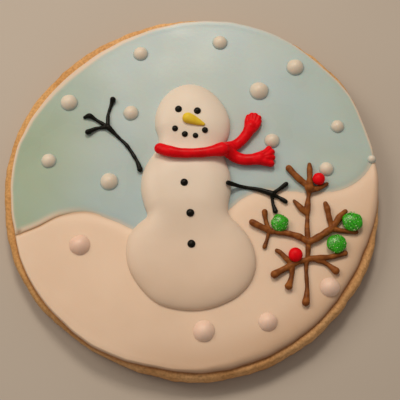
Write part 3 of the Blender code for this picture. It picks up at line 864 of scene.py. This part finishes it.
def flake(x, y, width, height):
    """A tiny six-sided plate of glitter lying on a bauble."""
    lean = math.acos(RANDOM.uniform(0.0, 1.0))
    turn = RANDOM.uniform(0, FULL_TURN)
    outward = Vector((math.sin(lean) * math.cos(turn), math.sin(lean) * math.sin(turn), math.cos(lean)))
    middle = Vector((x, y, ICING_TOP + GAP + height / 2))
    centre = middle + Vector((width, width, height)) / 2 * outward
    tilt = Vector([RANDOM.uniform(-FLAKE_TILT, FLAKE_TILT) for _ in range(3)])
    axes = (outward + tilt).normalized().to_track_quat("Z", "Y").to_matrix()
    size = RANDOM.uniform(*FLAKE_SIZES)
    vertices = []
    for level in (-FLAKE_HALF, FLAKE_HALF):
        for k in range(6):
            angle = math.pi * k / 3
            corner = Vector((size * math.cos(angle), size * math.sin(angle), level))
            vertices.append(tuple(centre + axes @ corner))
    faces = [tuple(reversed(range(6))), tuple(range(6, 12))]
    faces += [(k, (k + 1) % 6, 6 + (k + 1) % 6, 6 + k) for k in range(6)]
    return vertices, faces


def make_tree():
    """A bare twig tree with round baubles, three of them of glittery gel."""
    twigs = melt("twigs_piped", strokes(TWIGS, flatness=0.95, uneven=0.2), voxel=0.11, rounds=3)
    settle(twigs, "brown_icing", "twig_tree")
    reds = [bauble(*ball, seed=4.4 * order + 1) for order, ball in enumerate(RED_BAUBLES)]
    settle(new_object("red_baubles", *join(reds)), "red_icing", "twig_tree")
    greens = [
        bauble(*ball, seed=5.2 * order + 2, softness=0.9, uneven=0.14)
        for order, ball in enumerate(GREEN_BAUBLES)
    ]
    settle(new_object("green_baubles", *join(greens)), "green_gel", "twig_tree")
    flakes = [flake(*ball) for ball in GREEN_BAUBLES for _ in range(FLAKES)]
    settle(new_object("glitter", *join(flakes)), "green_gel", "twig_tree")


# Material helpers

PLAIN = (1.0, 1.0, 1.0)


def new_material(name, roughness, **values):
    """A node material, its nodes and its shader, with the shader's constant values set."""
    material = bpy.data.materials.new(name)
    material.use_nodes = True
    tree = material.node_tree
    shader = tree.nodes["Principled BSDF"]
    shader.inputs["Roughness"].default_value = roughness
    for socket, value in values.items():
        shader.inputs[socket.replace("_", " ")].default_value = value
    return material, tree, shader


def add_node(tree, kind, **values):
    """A node with its settings, or its input values where it has no such setting."""
    node = tree.nodes.new(kind)
    for name, value in values.items():
        if hasattr(node, name):
            setattr(node, name, value)
        else:
            node.inputs[name.replace("_", " ")].default_value = value
    return node


def stored(tree, name):
    """The number that a piece's vertices hold under a name."""
    return add_node(tree, "ShaderNodeAttribute", attribute_name=name).outputs["Fac"]


def place_noise(tree, size, detail=2.0, distortion=0.0):
    """Noise over the piece's own space, with features about size mm across."""
    place = add_node(tree, "ShaderNodeTexCoord")
    grain = add_node(tree, "ShaderNodeTexNoise", Scale=1 / (size * MM), Detail=detail, Distortion=distortion)
    tree.links.new(place.outputs["Object"], grain.inputs["Vector"])
    return grain.outputs["Fac"]


def mottle(tree, source, tones, low=0.35, high=0.65):
    """Two tones by the value of source: the first one up to low, the second one from high."""
    node = add_node(tree, "ShaderNodeValToRGB")
    for element, place, tone in zip(node.color_ramp.elements, (low, high), tones):
        element.position = place
        element.color = (*tone, 1)
    tree.links.new(source, node.inputs["Fac"])
    return node.outputs["Color"]


def slope(tree, axis, low, high):
    """0 to 1 along an axis of the piece's own space, between two places in mm."""
    place = add_node(tree, "ShaderNodeTexCoord")
    split = add_node(tree, "ShaderNodeSeparateXYZ")
    tree.links.new(place.outputs["Object"], split.inputs["Vector"])
    scaled = add_node(
        tree, "ShaderNodeMapRange", interpolation_type="SMOOTHSTEP", From_Min=low * MM, From_Max=high * MM,
    )
    tree.links.new(split.outputs[axis], scaled.inputs["Value"])
    return scaled.outputs["Result"]


def blend(tree, share, first, second, blend_type="MIX"):
    """A mix of two colours, either of them a socket or a constant, by a socket or a number."""
    node = add_node(tree, "ShaderNodeMix", data_type="RGBA", blend_type=blend_type, clamp_factor=True)
    for socket, value in ((node.inputs[0], share), (node.inputs[6], first), (node.inputs[7], second)):
        if isinstance(value, bpy.types.NodeSocket):
            tree.links.new(value, socket)
        elif isinstance(value, tuple):
            socket.default_value = (*value, 1)
        else:
            socket.default_value = value
    return node.outputs[2]


def tint(tree, share, colour, tone):
    """A colour multiplied by a tone, as far as share says."""
    return blend(tree, share, colour, tone, "MULTIPLY")


def bump(tree, shader, source, depth):
    """Small relief from a value, its full range depth mm deep."""
    node = add_node(tree, "ShaderNodeBump", Strength=1.0, Distance=depth * MM)
    tree.links.new(source, node.inputs["Height"])
    tree.links.new(node.outputs["Normal"], shader.inputs["Normal"])


def vary_roughness(tree, shader, source, low, high):
    """Lets the gloss wander between two values."""
    node = add_node(tree, "ShaderNodeMapRange", From_Min=0.3, From_Max=0.7, To_Min=low, To_Max=high)
    tree.links.new(source, node.inputs["Value"])
    tree.links.new(node.outputs["Result"], shader.inputs["Roughness"])


def set_colour(tree, shader, colour):
    """Links a colour to the shader."""
    tree.links.new(colour, shader.inputs["Base Color"])


# Materials. Each tone is red, green and blue, and places along an axis are in mm

DOUGH_TONES = ((0.86, 0.525, 0.245), (0.745, 0.41, 0.165))
CRUMB_TONES = ((0.55, 0.5, 0.42), PLAIN)
# painted shadow under the icing's edge
ICING_SHADOW_TONE = (0.50, 0.32, 0.22)
BROWN_FOOT = ((3.4, 0.2), (0.68, 0.48, 0.36))  # between which heights, and the tone at the foot
DOUGH_LEFT_SHADE = ((-15, -45), (0.90, 0.87, 0.75))  # painted shade on the left side: between which x, and the tone at the left
FLOOD_SHADE_TONE = (0.70, 0.58, 0.46)  # painted shade, in the tone of dough

SKY_TONES = ((0.455, 0.59, 0.625), (0.485, 0.62, 0.66))
SKY_LEFT = ((-18, -46), (0.80, 0.84, 0.65))  # greener
# darker and a little yellower towards the right
SKY_RIGHT = ((14, 46), (0.96, 0.97, 0.91))
SKY_DRIFTS = (PLAIN, (1.03, 0.98, 0.9))
OUTLINE_TONE = (0.76, 0.64, 0.52)  # the white that shows along the sky's edge

# the snow's side, where its foot gets painted shadow
FLOOD_SIDE = (ICING_TOP - 0.35, BISCUIT_TOP + 0.2)
DOT_FOOT = (ICING_TOP + 0.95, ICING_TOP)

# White icings: two tones, the y between which painted shade falls towards -Y and its tone there, and the
# heights between which its foot is tinted and its tone there: painted shadow on the snow, the blue seen
# through on sky dots
WHITES = {
    # the snowman's: painted shade, darker and warmer towards -Y
    "white_icing": (((0.795, 0.71, 0.61), (0.825, 0.74, 0.64)), ((12, -30), (0.96, 0.85, 0.77))),
    "snow_icing": (
        # painted shade towards -Y, then painted shadow on its foot
        ((0.835, 0.645, 0.49), (0.865, 0.675, 0.52)), ((-26, -48), (0.92, 0.92, 0.92)),
        (FLOOD_SIDE, (0.66, 0.50, 0.40)),
    ),
    "snow_dot_icing": (((0.87, 0.62, 0.51), (0.93, 0.71, 0.59)),),
    "sky_dot_icing": (((0.76, 0.69, 0.585), (0.80, 0.725, 0.62)), None, (DOT_FOOT, (0.66, 0.86, 0.98))),
}

# Piping icings: two tones, the range of roughness, the gloss, and how light the painted shade leaves the
# foot
PIPINGS = {
    "black_icing": (((0.003, 0.003, 0.002), (0.007, 0.007, 0.004)), (0.3, 0.45), 0.15, 1.0),
    "red_icing": (((0.70, 0.001, 0.005), (0.88, 0.003, 0.010)), (0.32, 0.48), 0.12, 0.8),
    "brown_icing": (((0.175, 0.05, 0.010), (0.335, 0.115, 0.025)), (0.35, 0.5), 0.14, 0.4),
    "yellow_icing": (((0.82, 0.58, 0.035), (0.87, 0.67, 0.05)), (0.35, 0.5), 0.2, 1.0),
}
# heights over which painted shade deepens towards a piping's foot
PIPING_SHADE_FOOT = (ICING_TOP + 1.3, ICING_TOP + 0.2)

GEL_TONES = ((0.010, 0.19, 0.002), (0.05, 0.60, 0.006))
GLITTER_TONES = ((0.04, 0.60, 0.02), (0.90, 1.0, 0.70))
FLOOR_TONES = ((0.50, 0.455, 0.40), (0.52, 0.475, 0.42))


def biscuit_material():
    """Baked dough: golden, browner at its foot, fine sandy crumb, painted shadow by the icing, painted shade
    at left.
    """
    material, tree, shader = new_material("baked_dough", 0.75, Specular_IOR_Level=0.3)
    colour = mottle(tree, place_noise(tree, size=9, detail=3), DOUGH_TONES)
    crumbs = mottle(tree, place_noise(tree, size=0.7, detail=4), CRUMB_TONES, 0.3, 0.62)
    colour = tint(tree, 0.7, colour, crumbs)
    # painted shadow under the icing's edge
    colour = tint(tree, stored(tree, "painted_icing_shadow"), colour, ICING_SHADOW_TONE)
    # a browner foot, then painted shade on the left side
    for axis, (places, tone) in (("Z", BROWN_FOOT), ("X", DOUGH_LEFT_SHADE)):
        colour = tint(tree, slope(tree, axis, *places), colour, tone)
    set_colour(tree, shader, colour)
    bump(tree, shader, place_noise(tree, size=0.35, detail=3), depth=0.08)
    return material


def add_painted_flood_shade(tree, colour):
    """A colour with painted shade, in the tone of dough, in the crease, the pit and towards the lower right
    edge.
    """
    return tint(tree, stored(tree, "painted_flood_shade"), colour, FLOOD_SHADE_TONE)


def sky_material():
    """Pale blue flood icing, a little greener to the left, with the white of its outline along its edge."""
    material, tree, shader = new_material(
        "sky_blue_icing", 0.4, Specular_IOR_Level=0.22, Subsurface_Weight=0.15, Subsurface_Scale=0.0012,
    )
    patches = place_noise(tree, size=16, detail=2, distortion=0.4)
    colour = mottle(tree, patches, SKY_TONES)
    for places, tone in (SKY_LEFT, SKY_RIGHT):
        colour = tint(tree, slope(tree, "X", *places), colour, tone)
    drifts = mottle(tree, place_noise(tree, size=20, detail=1, distortion=0.6), SKY_DRIFTS)
    colour = tint(tree, 0.8, colour, drifts)
    colour = blend(tree, stored(tree, "pale"), colour, OUTLINE_TONE)
    set_colour(tree, shader, add_painted_flood_shade(tree, colour))
    vary_roughness(tree, shader, patches, 0.24, 0.34)
    bump(tree, shader, place_noise(tree, size=1.2, detail=2), depth=0.012)
    return material


def white_material(name, tones, painted_shade=None, foot=None):
    """White royal icing, satin and faintly see-through, with painted shade towards -Y and a tinted foot
    where given.
    """
    material, tree, shader = new_material(name, 0.42, Subsurface_Weight=0.25, Subsurface_Scale=0.0015)
    shader.inputs["Subsurface Radius"].default_value = (1.0, 0.75, 0.55)
    patches = place_noise(tree, size=14, detail=2, distortion=0.3)
    colour = mottle(tree, patches, tones)
    # painted shade towards -Y, then the tinted foot
    for axis, change in (("Y", painted_shade), ("Z", foot)):
        if change:
            places, tone = change
            colour = tint(tree, slope(tree, axis, *places), colour, tone)
    set_colour(tree, shader, add_painted_flood_shade(tree, colour))
    vary_roughness(tree, shader, patches, 0.36, 0.5)
    bump(tree, shader, place_noise(tree, size=1.4, detail=2), depth=0.012)
    return material


def piping_material(name, tones, roughness, gloss, foot):
    """Strongly coloured piping icing, its gloss and tone uneven, with painted shade where it meets the
    flood.
    """
    material, tree, shader = new_material(name, 0.35, Specular_IOR_Level=gloss)
    streaks = place_noise(tree, size=1.6, detail=3, distortion=0.5)
    # painted shade at the foot
    colour = tint(tree, slope(tree, "Z", *PIPING_SHADE_FOOT), mottle(tree, streaks, tones), (foot, foot, foot))
    set_colour(tree, shader, colour)
    vary_roughness(tree, shader, streaks, *roughness)
    bump(tree, shader, place_noise(tree, size=0.5, detail=2), depth=0.02)
    return material


def gel_material():
    """Clear green gel, wet and full of fine grains."""
    material, tree, shader = new_material(
        "green_gel", 0.22, Coat_Weight=0.1, Coat_Roughness=0.05, Subsurface_Weight=0.35,
        Subsurface_Scale=0.0012, Subsurface_Radius=(0.2, 1.0, 0.15),
    )
    grains = place_noise(tree, size=0.3, detail=2)
    set_colour(tree, shader, mottle(tree, grains, GEL_TONES))
    bump(tree, shader, grains, depth=0.08)
    return material


def glitter_material():
    """Shiny plates, green to nearly white."""
    material, tree, shader = new_material("green_glitter", 0.15, Metallic=0.25)
    grains = place_noise(tree, size=0.5, detail=0)
    set_colour(tree, shader, mottle(tree, grains, GLITTER_TONES, 0.48, 0.6))
    return material


def floor_material():
    """A plain pale table."""
    material, tree, shader = new_material("pale_table", 0.6)
    set_colour(tree, shader, mottle(tree, place_noise(tree, size=60, detail=1), FLOOR_TONES, 0.3, 0.7))
    return material


def dress():
    """Gives every piece its material."""
    white = {name: white_material(name, *values) for name, values in WHITES.items()}
    piping = {name: piping_material(name, *values) for name, values in PIPINGS.items()}
    looks = {
        "biscuit_baked": biscuit_material(),
        "sky_flood": sky_material(),
        "snow_flood": white["snow_icing"],
        "sky_dots": white["sky_dot_icing"],
        "snow_dots": white["snow_dot_icing"],
        "snowman_body": white["white_icing"],
        "face_and_buttons": piping["black_icing"],
        "carrot_nose": piping["yellow_icing"],
        "scarf_piped": piping["red_icing"],
        "arm_left_piped": piping["black_icing"],
        "arm_right_piped": piping["black_icing"],
        "twigs_piped": piping["brown_icing"],
        "red_baubles": piping["red_icing"],
        "green_baubles": gel_material(),
        "glitter": glitter_material(),
    }
    for name, material in looks.items():
        data = bpy.data.objects[name].data
        data.materials.clear()
        data.materials.append(material)


# Stage

AIM = Vector((0.9, -2.15, 4.0)) * MM
CAMERA_DISTANCE = 266 * MM
CAMERA_HEIGHT = math.radians(72)
CAMERA_LENS = 90  # its focal length, for a sensor 36 mm wide
FLOOR_HALF = 1500
FLOOR_LEVEL = -0.02  # just under the biscuit's foot
LIGHT_COLOUR = (1.0, 0.86, 0.71)
LIGHTS = (("key", (-24, 360, 520), 150, 1.55), ("side", (-350, 200, 420), 280, 1.0))
ROOM_COLOUR = (1.0, 0.86, 0.74)
ROOM_STRENGTH = 0.275


def make_camera():
    """The photograph's view: from the foot of the picture, 72 degrees over the table."""
    data = bpy.data.cameras.new("camera")
    data.lens = CAMERA_LENS
    data.sensor_width = 36
    data.clip_start = 0.01
    camera = add_object("camera", data)
    towards = Vector((0, -math.cos(CAMERA_HEIGHT), math.sin(CAMERA_HEIGHT)))
    camera.location = AIM + CAMERA_DISTANCE * towards
    camera.rotation_euler = towards.to_track_quat("Z", "Y").to_euler()
    bpy.context.scene.camera = camera


def make_light(name, place, width, power):
    """A square soft light that faces the cookie, its place and width in mm."""
    data = bpy.data.lights.new(name, "AREA")
    data.size = width * MM
    data.energy = power
    data.color = LIGHT_COLOUR
    light = add_object(name, data)
    light.location = Vector(place) * MM
    light.rotation_euler = light.location.to_track_quat("Z", "Y").to_euler()


def make_stage():
    """A plain pale floor, two large warm lights behind and to the left, and a soft fill all round."""
    sides = ((-1, -1), (1, -1), (1, 1), (-1, 1))
    corners = [(FLOOR_HALF * x, FLOOR_HALF * y, FLOOR_LEVEL) for x, y in sides]
    floor = new_object("floor", corners, [(0, 1, 2, 3)])
    floor.data.materials.append(floor_material())
    for light in LIGHTS:
        make_light(*light)
    world = bpy.data.worlds.new("room")
    world.use_nodes = True
    background = world.node_tree.nodes["Background"]
    background.inputs["Color"].default_value = (*ROOM_COLOUR, 1)
    background.inputs["Strength"].default_value = ROOM_STRENGTH
    bpy.context.scene.world = world
    bpy.context.scene.view_settings.view_transform = "Standard"


make_camera()
make_biscuit()
make_flood("sky_flood", 1, "blue_icing", "sky_icing")
make_flood("snow_flood", -1, "white_icing", "snow_icing")
make_dots("sky_dots", SKY_DOTS, "white_icing", "sky_icing", 1)
make_dots("snow_dots", SNOW_DOTS, "white_icing", "snow_icing", -1)
make_snowman()
make_scarf()
make_arms()
make_tree()
dress()
make_stage()
